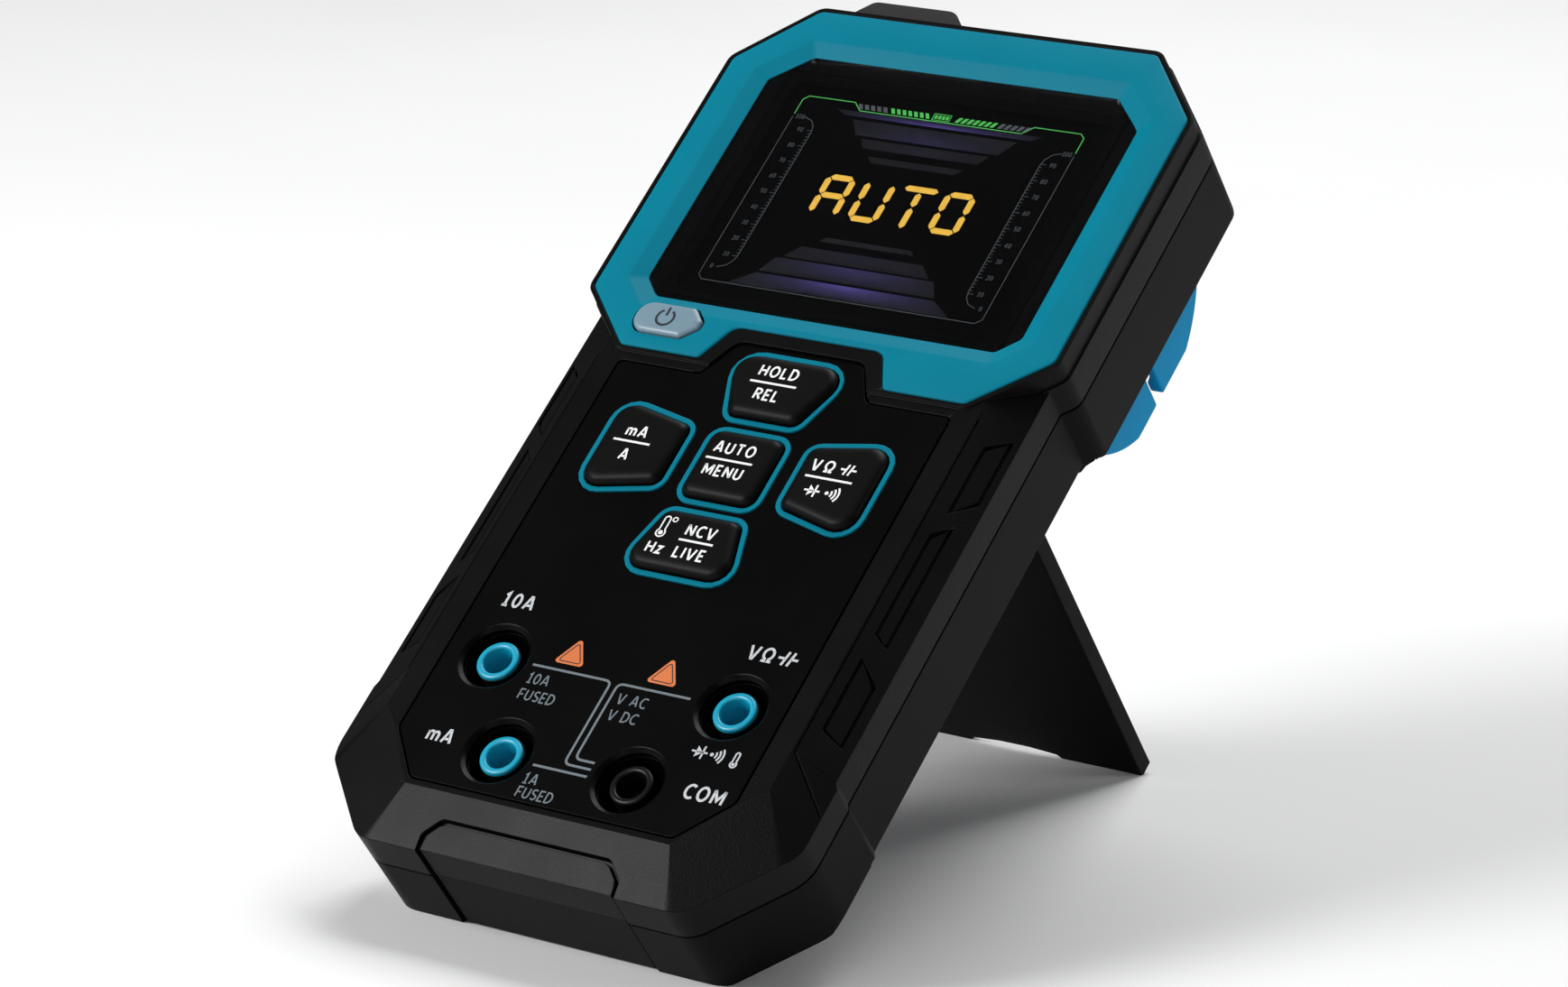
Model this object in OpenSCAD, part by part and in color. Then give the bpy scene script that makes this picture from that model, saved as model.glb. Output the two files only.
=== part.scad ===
// Hand-held colour-display multimeter standing on its kickstand.
// Every module is drawn in the meter's own frame: x to the right, y up along the
// length, z out of the front face, zero at the middle of the display.
// stand_up() then leans the whole meter back onto its foot and the kickstand.

/* [Case] */
// half width of the display head
head_hw = 45.6; // [44.8:0.1:47]
// half width of the lower body
body_hw = 43.2; // [42.4:0.1:43.6]
// height of the parting line below the front face
part_depth = 9.5; // [9.2:0.1:10]
// depth of the lower body behind the front face
back_depth = 22; // [21.8:0.1:22.4]
// depth of the raised back plate behind the front face
plate_depth = 27; // [26.8:0.1:28]
// length of the meter below the middle of the display
tail = 135; // [134.5:0.5:137]
// wall thickness
wall = 2; // [1.6:0.1:2.2]
// depth of the groove round each grip panel
grip_groove = 0.7; // [0.4:0.1:0.9]

/* [Stand] */
// lean of the long axis above the floor
lean = 40.5; // [38:0.5:43]
// half width of the kickstand
stand_hw = 25.3; // [22:0.1:26]
// thickness of the kickstand plate
stand_t = 3.4; // [3:0.1:3.4]
// angle between the open kickstand and the back
stand_open = 91; // [89:0.5:93]

/* [Keys] */
// gap round each key
key_gap = 0.3; // [0.25:0.05:0.4]
// height of the key tops above the front panel
key_rise = 1.5; // [1.2:0.1:2]
// width of the blue line round each key
rim_w = 0.9; // [0.9:0.1:1.2]

/* [Jacks] */
// radius of each socket contact
bore_r = 2.0; // [1.95:0.01:2.05]
// outer radius of each jack tube
tube_r = 3.65; // [3.5:0.05:3.8]
// radius of each well round a jack tube
well_r = 5.6; // [5.4:0.1:5.8]

/* [Node] */

/* [Hidden] */
$fn = 48;
zp = -part_depth;
zb = -back_depth;
zf = zb - 1.2;
zh = zb - 2.6;
zk = -plate_depth;
hinge_y = -27.6;
hinge_z = zk + stand_t / 2 + 0.1;
hinge_r = 1.0;
jx1 = 12.25;
jy1 = -116.3;
jx2 = 22.4;
jy2 = -99.9;
foot_cut = 0.4;
floor_off = (tail - foot_cut) * sin(lean) + (-zf - foot_cut) * cos(lean);
swing = lean + 90 - stand_open;
toe = (floor_off + hinge_y * sin(lean) + hinge_z * cos(lean)
    + foot_cut - stand_t / 2 * sin(swing)) / cos(swing);
front_y = (tail - 125.4) * tan(16) * sin(lean) - tail * cos(lean);
foot_y = hinge_y * cos(lean) - hinge_z * sin(lean)
    + stand_t / 2 * cos(swing) + toe * sin(swing);
shift_y = -(front_y + foot_y) / 2;
e = 0.02;

teal = [0.0, 0.5, 0.6];
black = [0.09, 0.09, 0.095];
soft_black = [0.12, 0.12, 0.125];
blue = [0.06, 0.56, 0.8];
brass = [0.8, 0.66, 0.34];
steel = [0.7, 0.71, 0.73];
board_green = [0.05, 0.3, 0.17];

// ---------- rounded outlines ----------

function unit(v) = v / norm(v);

function corner(a, b, c, r, n) =
    let(u = unit(a - b), v = unit(c - b),
        h = acos(max(-1, min(1, u * v))) / 2,
        m = b + unit(u + v) * r / sin(h),
        s = b + u * r / tan(h) - m,
        t = b + v * r / tan(h) - m,
        a0 = atan2(s[1], s[0]),
        d = (atan2(t[1], t[0]) - a0 + 540) % 360 - 180)
    [for (i = [0:n]) m + r * [cos(a0 + d * i / n), sin(a0 + d * i / n)]];

function rounded(p, r, n = 5) =
    let(k = len(p))
    [for (i = [0:k - 1])
        each corner(p[(i + k - 1) % k], p[i], p[(i + 1) % k], is_list(r) ? r[i] : r, n)];

module slab(p, z0, z1) {
    translate([0, 0, z0])
        linear_extrude(height = z1 - z0)
            polygon(p);
}

module box(x0, x1, y0, y1, z0, z1) {
    translate([x0, y0, z0])
        cube([x1 - x0, y1 - y0, z1 - z0]);
}

module post(x, y, r, z0, z1) {
    translate([x, y, z0])
        cylinder(r = r, h = z1 - z0);
}

module both() {
    children();
    mirror([1, 0, 0])
        children();
}

// ---------- shared outlines ----------

// display head, o outside the bezel
function head(o) = [
    [-32.8 - 0.4 * o, 37.6 + o], [32.8 + 0.4 * o, 37.6 + o],
    [44.3 + o, 25.0 + 0.4 * o], [44.3 + o, -26.7 - 0.4 * o],
    [33.0 + 0.4 * o, -37.4 - o], [-33.0 - 0.4 * o, -37.4 - o],
    [-44.3 - o, -26.7 - 0.4 * o], [-44.3 - o, 25.0 + 0.4 * o]];

// bezel outline with the notch for the top key, o outside
function bezel(o) = [
    [-32.8 - 0.4 * o, 37.6 + o], [32.8 + 0.4 * o, 37.6 + o],
    [44.3 + o, 25.0 + 0.4 * o], [44.3 + o, -26.7 - 0.4 * o],
    [33.0 + 0.4 * o, -37.4 - o], [17.6 - 0.8 * o, -37.4 - o],
    [14.1 - 0.8 * o, -30.2 - o], [-14.1 + 0.8 * o, -30.2 - o],
    [-17.6 + 0.8 * o, -37.4 - o], [-33.0 - 0.4 * o, -37.4 - o],
    [-44.3 - o, -26.7 - 0.4 * o], [-44.3 - o, 25.0 + 0.4 * o]];
bezel_r = [2, 2, 2, 2, 2, 1.2, 2.5, 2.5, 1.2, 2, 2, 2];

// window in the bezel, o outside
function window(o) = [
    [-29.6 - 0.4 * o, 28.0 + o], [29.6 + 0.4 * o, 28.0 + o],
    [35.9 + o, 22.0 + 0.4 * o], [35.9 + o, -22.7 - 0.4 * o],
    [32.5 + 0.4 * o, -26.1 - o], [-32.5 - 0.4 * o, -26.1 - o],
    [-35.9 - o, -22.7 - 0.4 * o], [-35.9 - o, 22.0 + 0.4 * o]];

// front panel below the head, o outside
function panel(o) = [
    [-31.8 - o, -116.0 - 0.4 * o], [-24.7 - 0.4 * o, -124.3 - o],
    [24.7 + 0.4 * o, -124.3 - o], [31.8 + o, -116.0 - 0.4 * o],
    [31.8 + o, -40.2 + o], [16.0 + 0.5 * o, -40.2 + o], [12.0 + 0.6 * o, -32.9 + o],
    [-12.0 - 0.6 * o, -32.9 + o], [-16.0 - 0.5 * o, -40.2 + o], [-31.8 - o, -40.2 + o]];
panel_r = [2, 2, 2, 2, 1, 2, 2.5, 2.5, 2, 1];

// key outlines measured outside the blue line, o outside
function key_hold(o) = [
    [-12.5 - o, -34.1 + o], [12.5 + o, -34.1 + o],
    [7.3 + 0.8 * o, -48.6 - o], [-7.3 - 0.8 * o, -48.6 - o]];
function key_ncv(o) = [
    [-7.9 - 0.8 * o, -66.2 + o], [7.9 + 0.8 * o, -66.2 + o],
    [11.7 + 1.2 * o, -80.0 - o], [-11.7 - 1.2 * o, -80.0 - o]];
function key_menu(o) = [
    [-8.0 - o, -49.6 + o], [8.0 + o, -49.6 + o],
    [8.0 + o, -65.3 - o], [-8.0 - o, -65.3 - o]];
function key_current(o) = [
    [-27.0 - o, -46.8 + 1.2 * o], [-10.4 + o, -50.0 + 0.8 * o],
    [-10.4 + o, -63.8 - 0.8 * o], [-27.0 - o, -67.5 - 1.2 * o]];
function flip(p) = [for (i = [len(p) - 1:-1:0]) [-p[i][0], p[i][1]]];
function key_volts(o) = flip(key_current(o));

function key_shape(k, o) =
    k == 0 ? rounded(key_hold(o), [4.6 + o, 4.6 + o, 3.1 + o, 3.1 + o]) :
    k == 1 ? rounded(key_current(o), [4.4 + o, 3 + o, 3 + o, 4.4 + o]) :
    k == 2 ? rounded(key_menu(o), 3.2 + o) :
    k == 3 ? rounded(key_volts(o), [4.4 + o, 3 + o, 3 + o, 4.4 + o]) :
    rounded(key_ncv(o), [3.1 + o, 3.1 + o, 4.2 + o, 4.2 + o]);
key_mid = [[0, -41.4], [-18.7, -57.2], [0, -57.45], [18.7, -57.2], [0, -73.2]];

// power key outline, o outside
function power_shape(o) = rounded([
    [-33.2 - o, -28.2 + o], [-22.6 + 0.6 * o, -28.2 + o], [-20.2 + o, -30.6 + 0.6 * o],
    [-20.2 + o, -32.0 - 0.6 * o], [-22.9 + 0.6 * o, -34.5 - o], [-33.2 - o, -34.5 - o]],
    [2.9 + o, 1 + o, 0.9 + o, 0.9 + o, 1 + o, 2.9 + o]);

jacks = [[-jx2, jy2], [-jx1, jy1], [jx1, jy1], [jx2, jy2]];
case_bosses = [[-38.6, 18], [38.6, 18], [-37.6, -92], [37.6, -92]];

// ---------- outer body ----------

// takes away what lies above a plane falling at s degrees towards bearing a
module fall(px, py, a, s) {
    translate([px, py, 0])
        rotate([0, 0, a])
            rotate([0, s, 0])
                translate([-40, -150, 0])
                    cube([120, 300, 30]);
}

// everything on the floor's side of the meter
module under_floor() {
    rotate([-lean, 0, 0])
        translate([-80, -300, -floor_off - 60])
            cube([160, 600, 60]);
}

function body_outline(o) = rounded([
    [-30.2 - 0.4 * o, -tail - o], [30.2 + 0.4 * o, -tail - o],
    [body_hw + 0.6 + o, -120.9 - 0.4 * o], [body_hw + 0.6 + o, -107.6],
    [body_hw + o, -106.6], [body_hw + o, -27],
    [-body_hw - o, -27], [-body_hw - o, -106.6],
    [-body_hw - 0.6 - o, -107.6], [-body_hw - 0.6 - o, -120.9 - 0.4 * o]],
    [6, 6, 8, 0.6, 0.6, 1, 1, 0.6, 0.6, 8], 6);

module lower_front() {
    difference() {
        slab(body_outline(0), zp, 0);
        both()
            fall(36, 0, 0, 28.5);
        fall(0, -125.4, -90, 16);
        both()
            fall(28.5, -121.2, -41, 17);
    }
}

// one grip panel of width w, inset by o, above height z
module grip_tile(t, w, o, z) {
    translate([0, 0, z])
        linear_extrude(height = 3)
            polygon([[o, t[1] - o], [w - o, t[0] - o], [w - o, t[3] + o], [o, t[2] + o]]);
}

// grip panels on each side bevel, each in a groove of its own
module grip_cuts() {
    tiles = [[-40.6, -43.6, -57.0, -53.4], [-58.8, -61.6, -81.4, -82.8],
        [-89.2, -85.8, -99.8, -101.2]];
    near = [3.2, 2.4, 2.4];
    wide = [3.9, 2.9, 4.2];
    both()
        translate([36, 0, 0])
            rotate([0, 28.5, 0]) {
                for (i = [0:2])
                    translate([near[i], 0, 0]) {
                        difference() {
                            grip_tile(tiles[i], wide[i], 0, -grip_groove);
                            grip_tile(tiles[i], wide[i], 0.55, -2);
                        }
                        grip_tile(tiles[i], wide[i], 0.1, -0.15);
                    }
                // line round the grip
                translate([0, 0, -0.35])
                    linear_extrude(height = 2)
                        polygon([[0.25, -39.5], [0.6, -39.5], [0.6, -104.9], [8.6, -112.6],
                            [8.6, -113.1], [0.25, -105.1]]);
            }
}

// outline of the tongue at the tail, o outside
function tongue(o) = rounded([[-18.3 - o, -tail - 3], [18.3 + o, -tail - 3],
    [18.3 + o, -132.4 + 0.4 * o], [15.6 + 0.4 * o, -129.7 + o],
    [-15.6 - 0.4 * o, -129.7 + o], [-18.3 - o, -132.4 + 0.4 * o]],
    [0.5, 0.5, 1.4, 1.6, 1.6, 1.4]);

// tongue let into the tail bevel, with a groove round it that runs down the end face
module tail_tongue() {
    intersection() {
        slab(tongue(0), -5, 2);
        translate([0, 0, -0.2])
            fall(0, -125.4, -90, 16);
    }
    intersection() {
        difference() {
            slab(tongue(0.3), -5, 2);
            slab(tongue(-0.35), -6, 3);
        }
        translate([0, 0, -1.0])
            fall(0, -125.4, -90, 16);
    }
    box(-18.3, 18.3, -tail - 3, -tail + 0.4, zp - 1, 0);
    both()
        box(17.95, 18.6, -tail - 3, -tail + 1.1, zp - 1, 0);
}

module front_shell() {
    color(black) {
        difference() {
            union() {
                lower_front();
                slab(rounded(head(head_hw - 44.3), 3.2), zp, -3.4);
                slab(rounded(head(0.9), 2.8), -3.4 - e, 0.35);
            }
            grip_cuts();
            tail_tongue();
            // inside of the lower body
            box(-body_hw + wall, body_hw - wall, -106, -22, zp - 1, -6);
            box(-40.4, 40.4, -117.5, -100, zp - 1, -7);
            slab([[-28.5, -tail + 3], [28.5, -tail + 3], [39, -121], [39, -110],
                [-39, -110], [-39, -121]], zp - 1, -7);
            box(-35, 35, -123, -30, zp - 1, -3.1);
            // inside of the head
            slab(rounded(head(head_hw - 44.3 - wall), 2), zp - 1, -4);
            box(-34, 34, -27.6, 30, zp - 1, -2.6);
            // seats for bezel and panel
            slab(rounded(bezel(0.1), bezel_r), -1.5, 3);
            slab(rounded(panel(0.1), panel_r), -1.5, 3);
            // display opening
            slab(rounded([[-33, 25.5], [33, 25.5], [33, -25], [-33, -25]], 1), -6, 3);
            // key openings
            for (k = [0:4])
                slab(key_shape(k, -rim_w + 0.05), -6, 3);
            slab(power_shape(0.2), -6, 3);
            slab(power_shape(1.2), -6, -2.6);
            // jack wells
            for (j = jacks)
                post(j[0], j[1], well_r + 1.3 - e, -6, -1);
            // screw inserts
            for (b = case_bosses)
                post(b[0], b[1], 3.1, zp - 1, -4.2);
        }
        // wells that shroud the jack tubes
        for (j = jacks)
            difference() {
                post(j[0], j[1], well_r + 1.3, -17.6, -1.6);
                post(j[0], j[1], well_r, -20, 0);
            }
        // bosses for the case screws
        for (b = case_bosses)
            difference() {
                post(b[0], b[1], 3.2, zp, -4);
                post(b[0], b[1], 2.0, zp - 1, -5.2);
            }
    }
}

// rear corner blocks and back plate
module rear_body() {
    difference() {
        union() {
            slab(body_outline(0), zb, zp);
            slab(rounded([[-30.2, -tail], [30.2, -tail], [body_hw + 0.6, -120.9],
                [body_hw + 0.6, -108.4], [-body_hw - 0.6, -108.4],
                [-body_hw - 0.6, -120.9]], [6, 6, 8, 1, 1, 8], 6), zf, zp);
            slab(rounded(head(head_hw - 44.3), 3.2), zh, zp);
            slab(rounded([[-32, -123], [-26, -129], [26, -129], [32, -123],
                [32, 28], [26, 34], [-26, 34], [-32, 28]], 1), zk, zp);
        }
        // lower edge of the head runs up to the body in a slope
        both()
            intersection() {
                translate([0, -26.7, zh])
                    rotate([-18, 0, 0])
                        box(32.1, 60, -20, 0, -6, 0);
                box(32, 61, -60, 0, -40, zb);
            }
        // tail is let in between its two feet
        box(-18.3, 18.3, -tail - 1, -tail + 0.4, -40, zp + 1);
        both()
            box(17.95, 18.6, -tail - 1, -tail + 1.1, -40, zp + 1);
        box(-18.5, 18.5, -tail - 1, -128, -40, zf + 0.9);
        // edges of the back
        both()
            translate([body_hw + 0.6, -200, zf])
                rotate([0, -45, 0])
                    translate([-1.5, 0, -10])
                        cube([3, 400, 10.7]);
        under_floor();
    }
}

module rear_shell() {
    color(soft_black) {
        difference() {
            rear_body();
            // groove along the parting line
            difference() {
                box(-60, 60, -150, 60, zp - 0.35, zp + 1);
                slab(body_outline(-0.4), zp - 1, zp + 2);
                slab(rounded(head(head_hw - 44.7), 3), zp - 1, zp + 2);
            }
            // inside
            difference() {
                union() {
                    slab([[-28, -tail + 3.4], [28, -tail + 3.4], [41, -119.6],
                        [41, -30], [-41, -30], [-41, -119.6]], zb + wall - 0.2, zp + 1);
                    slab(rounded(head(head_hw - 44.3 - wall), 2), zh + wall, zp + 1);
                }
                // floor under the folded stand and the hinge
                box(-27.5, 27.5, -124, -18, -40, zk + stand_t + wall);
            }
            // recess for the folded stand
            box(-stand_hw - 0.5, stand_hw + 0.5, -121.5, hinge_y + 3.2, -40, zk + stand_t + 0.5);
            // finger notch below the stand
            box(-12, 12, -126.5, -121, -40, zk + 2.6);
            // battery opening under the stand
            box(-19.3, 19.3, -90.9, -37.3, -40, zp - 0.5);
            box(-17.3, 17.3, -98.0, -90, -40, zk + stand_t + 2.5);
            // hinge pin
            translate([-29.6, hinge_y, hinge_z])
                rotate([0, 90, 0])
                    cylinder(r = hinge_r + 0.02, h = 59.2);
            // seats for the probe clips beside the plate
            both()
                box(32.3, 44.0, -25.5, 12.7, -40, -20.7);
            // case screws
            for (b = case_bosses)
                post(b[0], b[1], 1.6, -40, zp + 1);
            for (b = case_bosses)
                post(b[0], b[1], 3.0, -40, zb + 3);
            // door screws
            for (x = [-13, 13])
                post(x, -94.3, 1.05, -40, -16);
        }
        // bosses round the case screws
        for (b = case_bosses)
            difference() {
                post(b[0], b[1], 3.9, b[1] > 0 ? zh + 1 : zb + 1, zp - 0.05);
                post(b[0], b[1], 1.6, -40, zp + 1);
                post(b[0], b[1], 3.0, -40, zb + 3);
            }
        // bosses for the door screws
        for (x = [-13, 13])
            difference() {
                post(x, -94.3, 1.9, zk + stand_t + 2.5 + e, -16.8);
                post(x, -94.3, 1.05, -40, -10);
            }
        // floors and end walls of the clip seats
        both()
            difference() {
                box(30.7, head_hw - wall + 0.5, -27.1, 14.3, zh + 1, -19.2);
                box(32.3, 44.0, -25.5, 12.7, -40, -20.7);
            }
        // walls of the battery bay
        difference() {
            box(-20.6, 20.6, -92.2, -36.0, zk + stand_t + 1, zp - 0.6);
            box(-19.3, 19.3, -90.9, -37.3, -40, zp + 1);
            box(-17.3, 17.3, -98.0, -90, -40, zk + stand_t + 2.5);
        }
    }
}

// ---------- display ----------

// room above the slope from the bezel down to the lens
module window_slope() {
    w = window(0);
    difference() {
        slab(window(5), -0.45, 3);
        for (i = [0:7])
            translate([w[i][0], w[i][1], -0.45])
                rotate([0, 0, atan2(w[(i + 1) % 8][1] - w[i][1], w[(i + 1) % 8][0] - w[i][0])])
                    rotate([19, 0, 0])
                        translate([-20, -4, -10])
                            cube([110, 40, 10]);
    }
}

module display_bezel() {
    color(teal)
        difference() {
            slab(rounded(bezel(0), bezel_r), -1.5, 0.55);
            slab(rounded(window(0), 1.6), -3, 3);
            window_slope();
            slab(power_shape(0.25), -3, 3);
        }
}

module display_lens() {
    color([0.02, 0.02, 0.025])
        slab(rounded(window(-0.05), 1.6), -1.45, -0.45);
}

module lens_gasket() {
    color([0.05, 0.05, 0.05])
        difference() {
            slab(rounded([[-32.8, 25.3], [32.8, 25.3], [32.8, -24.8], [-32.8, -24.8]], 1),
                -1.95, -1.47);
            slab(rounded([[-30.6, 22.9], [30.6, 22.9], [30.6, -22.9], [-30.6, -22.9]], 0.5),
                -3, 0);
        }
}

module lcd_panel() {
    color([0.03, 0.04, 0.07])
        box(-30.9, 30.9, -23.1, 23.1, -3.2, -2.0);
}

module lcd_backlight() {
    color([0.85, 0.86, 0.86])
        difference() {
            box(-32, 32, -24.4, 24.2, -5.6, -2.6);
            box(-30.95, 30.95, -23.15, 23.15, -3.22, 0);
        }
}

module lcd_flex() {
    color([0.75, 0.45, 0.1])
        union() {
            box(-9, 9, 24.25, 25.6, -6.6, -4.4);
            box(-9, 9, 14, 25.6, -7.0, -6.6);
        }
}

// ---------- panel and keys ----------

module front_panel() {
    color([0.075, 0.075, 0.08])
        difference() {
            slab(rounded(panel(-0.25), panel_r), -1.48, 0);
            slab(rounded([[-29, -82], [29, -82], [29, -45.5], [14.5, -41.6], [11.4, -33.5],
                [-11.4, -33.5], [-14.5, -41.6], [-29, -45.5]], 0.8), -3, -0.9);
            for (k = [0:4])
                slab(key_shape(k, 0.05), -3, 3);
            for (j = jacks)
                post(j[0], j[1], well_r, -3, 3);
            for (j = jacks)
                translate([j[0], j[1], -0.6])
                    cylinder(r1 = well_r, r2 = well_r + 0.75, h = 0.62);
        }
}

// blue plate behind the panel; its five raised rims frame the keys
module key_surround() {
    color(teal)
        difference() {
            union() {
                slab(rounded([[-28.6, -81.6], [28.6, -81.6], [28.6, -45.9], [14.1, -42.2],
                    [11.0, -33.8], [-11.0, -33.8], [-14.1, -42.2], [-28.6, -45.9]], 0.8),
                    -1.46, -0.94);
                for (k = [0:4])
                    slab(key_shape(k, 0), -1.46, 0.3);
            }
            for (k = [0:4])
                slab(key_shape(k, -rim_w), -3, 3);
        }
}

module key_cap(k) {
    color([0.11, 0.11, 0.115])
        union() {
            slab(key_shape(k, -rim_w - key_gap - 1.1), -3.2, key_rise);
            slab(key_shape(k, -rim_w - key_gap), -3.2, key_rise - 0.75);
            slab(key_shape(k, -rim_w - key_gap - 0.5), -3.2, key_rise - 0.3);
            slab(key_shape(k, -rim_w + 0.6), -4.2, -3.2);
            post(key_mid[k][0], key_mid[k][1], 2.6, -4.6, -4.1);
        }
}

module power_key() {
    color([0.55, 0.62, 0.72])
        union() {
            slab(power_shape(-0.1), -2.7, 0.85);
            slab(power_shape(-0.7), -2.7, 1.2);
            slab(power_shape(0.9), -3.7, -2.7);
            post(-26.7, -31.35, 2.2, -4.6, -3.6);
        }
}

module key_mat() {
    color([0.3, 0.31, 0.33])
        union() {
            slab(rounded([[-34, -83], [34, -83], [34, -28], [-34, -28]], 2), -7.3, -6.7);
            for (m = key_mid)
                translate([m[0], m[1], -6.72])
                    cylinder(r1 = 4.2, r2 = 2.8, h = 0.95);
            translate([-26.7, -31.35, -6.72])
                cylinder(r1 = 3.2, r2 = 2.4, h = 0.95);
        }
}

// ---------- jacks ----------

module jack(i) {
    color(i == 2 ? [0.04, 0.04, 0.045] : blue)
        translate([jacks[i][0], jacks[i][1], 0])
            difference() {
                union() {
                    translate([0, 0, -18.9])
                        cylinder(r = tube_r, h = 17.9);
                    translate([0, 0, -18.9])
                        cylinder(r = well_r + 1.3, h = 1.25);
                }
                translate([0, 0, -20])
                    cylinder(r = bore_r + 0.45, h = 20);
            }
}

module contact(i) {
    color(brass)
        translate([jacks[i][0], jacks[i][1], -18.9])
            difference() {
                cylinder(r = bore_r + 0.42, h = 12.4);
                translate([0, 0, -1])
                    cylinder(r = bore_r, h = 20);
            }
}

// ---------- boards and parts on them ----------

module main_board() {
    color(board_green)
        difference() {
            slab([[-34, 24], [34, 24], [34, -86], [-34, -86]], -9.0, -7.4);
            post(0, 8, 1.4, -12, -5);
            for (x = [-31, 31])
                post(x, -80, 1.2, -12, -5);
        }
}

module input_board() {
    color(board_green)
        slab([[-33, -112], [-28, -123], [28, -123], [33, -112], [33, -96.6], [32.4, -82],
            [23, -82], [23, -96.6], [-33, -96.6]], -19.7, -18.95);
}

module board_link() {
    color([0.1, 0.1, 0.1])
        box(24, 33, -85.6, -82.6, -18.9, -9.05);
}

module shield_can() {
    color(steel)
        difference() {
            box(-14, 14, -34.8, -14, -12.4, -9.02);
            box(-13.6, 13.6, -34.4, -14.4, -12.0, -8);
        }
}

module chips() {
    color([0.06, 0.06, 0.065]) {
        box(-6, 6, -30, -18, -10.4, -9.02);
        box(-30, -22, -48, -40, -10.2, -9.02);
        box(20, 29, -20, -12, -10.4, -9.02);
        box(22, 28, -62, -54, -10.2, -9.02);
    }
}

module buzzer() {
    color([0.08, 0.08, 0.085])
        difference() {
            post(22, 6, 6, -14.5, -9.02);
            post(22, 6, 1, -15, -13.5);
        }
}

module fuse(y, r, l) {
    color([0.86, 0.84, 0.78])
        translate([-l / 2, y, -14.6])
            rotate([0, 90, 0])
                cylinder(r = r, h = l);
}

module fuse_caps() {
    color(steel)
        for (y = [-99, -106])
            for (s = [-1, 1])
                translate([s * 10.5, y, -14.6])
                    rotate([0, 90, 0])
                        cylinder(r = 2.6, h = 3.6, center = true);
}

module fuse_clips() {
    color(brass)
        for (y = [-99, -106])
            for (s = [-1, 1])
                difference() {
                    box(s * 10.5 - 1.5, s * 10.5 + 1.5, y - 3.1, y + 3.1, -18.9, -13.2);
                    box(s * 10.5 - 3, s * 10.5 + 3, y - 2.65, y + 2.65, -14.6, 0);
                    translate([s * 10.5 - 3, y, -14.6])
                        rotate([0, 90, 0])
                            cylinder(r = 2.65, h = 6);
                }
}

module battery_cells() {
    color([0.2, 0.42, 0.3])
        for (x = [-11.2, 0, 11.2])
            translate([x, -41.6, -15.9])
                rotate([90, 0, 0])
                    union() {
                        cylinder(r = 5.2, h = 43.5);
                        translate([0, 0, -0.9])
                            cylinder(r = 1.9, h = 1);
                    }
}

module battery_plates() {
    color(steel) {
        for (x = [-11.2, 0, 11.2])
            box(x - 4.4, x + 4.4, -38.0, -37.5, -20.4, -11.4);
        for (x = [-11.2, 0, 11.2])
            box(x - 4.4, x + 4.4, -90.7, -90.2, -20.4, -11.4);
    }
}

module battery_springs() {
    color(steel)
        for (x = [-11.2, 0, 11.2])
            for (i = [0:3])
                translate([x, -85.8 - i * 1.05, -15.9])
                    rotate([90, 0, 0])
                        rotate_extrude()
                            translate([2.2 + i * 0.45, 0])
                                circle(r = 0.52, $fn = 12);
}

module battery_cradle() {
    color([0.14, 0.14, 0.145])
        difference() {
            box(-19, 19, -89.9, -38.3, -12.0, -10.0);
            for (x = [-11.2, 0, 11.2])
                translate([x, -34, -15.9])
                    rotate([90, 0, 0])
                        cylinder(r = 5.35, h = 60);
        }
}

module battery_door() {
    color(soft_black)
        difference() {
            union() {
                box(-19, 19, -90.6, -37.6, zk + stand_t + 0.6, zk + stand_t + 2.1);
                box(-17, 17, -97.7, -90.5, zk + stand_t + 0.6, zk + stand_t + 2.4);
            }
            for (x = [-13, 13])
                post(x, -94.3, 1.15, -40, 0);
            for (x = [-13, 13])
                post(x, -94.3, 2.15, -40, zk + stand_t + 1.6);
            for (i = [0:3])
                box(-7, 7, -82 - i * 2, -81 - i * 2, -40, zk + stand_t + 1.1);
        }
}

// ---------- fasteners ----------

module screw(x, y, z, r, hr, hh, l) {
    translate([x, y, z])
        difference() {
            union() {
                cylinder(r = hr, h = hh);
                cylinder(r = r, h = l);
            }
            for (a = [0, 90])
                rotate([0, 0, a])
                    box(-hr * 0.6, hr * 0.6, -0.3, 0.3, -1, hh * 0.5);
        }
}

module case_screws() {
    color(steel)
        for (b = case_bosses)
            screw(b[0], b[1], zb + 1.2, 1.3, 2.7, 1.8, 14.2);
}

module door_screws() {
    color(steel)
        for (x = [-13, 13])
            screw(x, -94.3, zk + stand_t + 0.65, 1.0, 1.9, 0.9, 5.4);
}

module case_inserts() {
    color(brass)
        for (b = case_bosses)
            difference() {
                post(b[0], b[1], 1.98, zp + 0.1, -5.4);
                post(b[0], b[1], 1.35, zp - 1, -5.9);
            }
}

// ---------- back ----------

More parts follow.
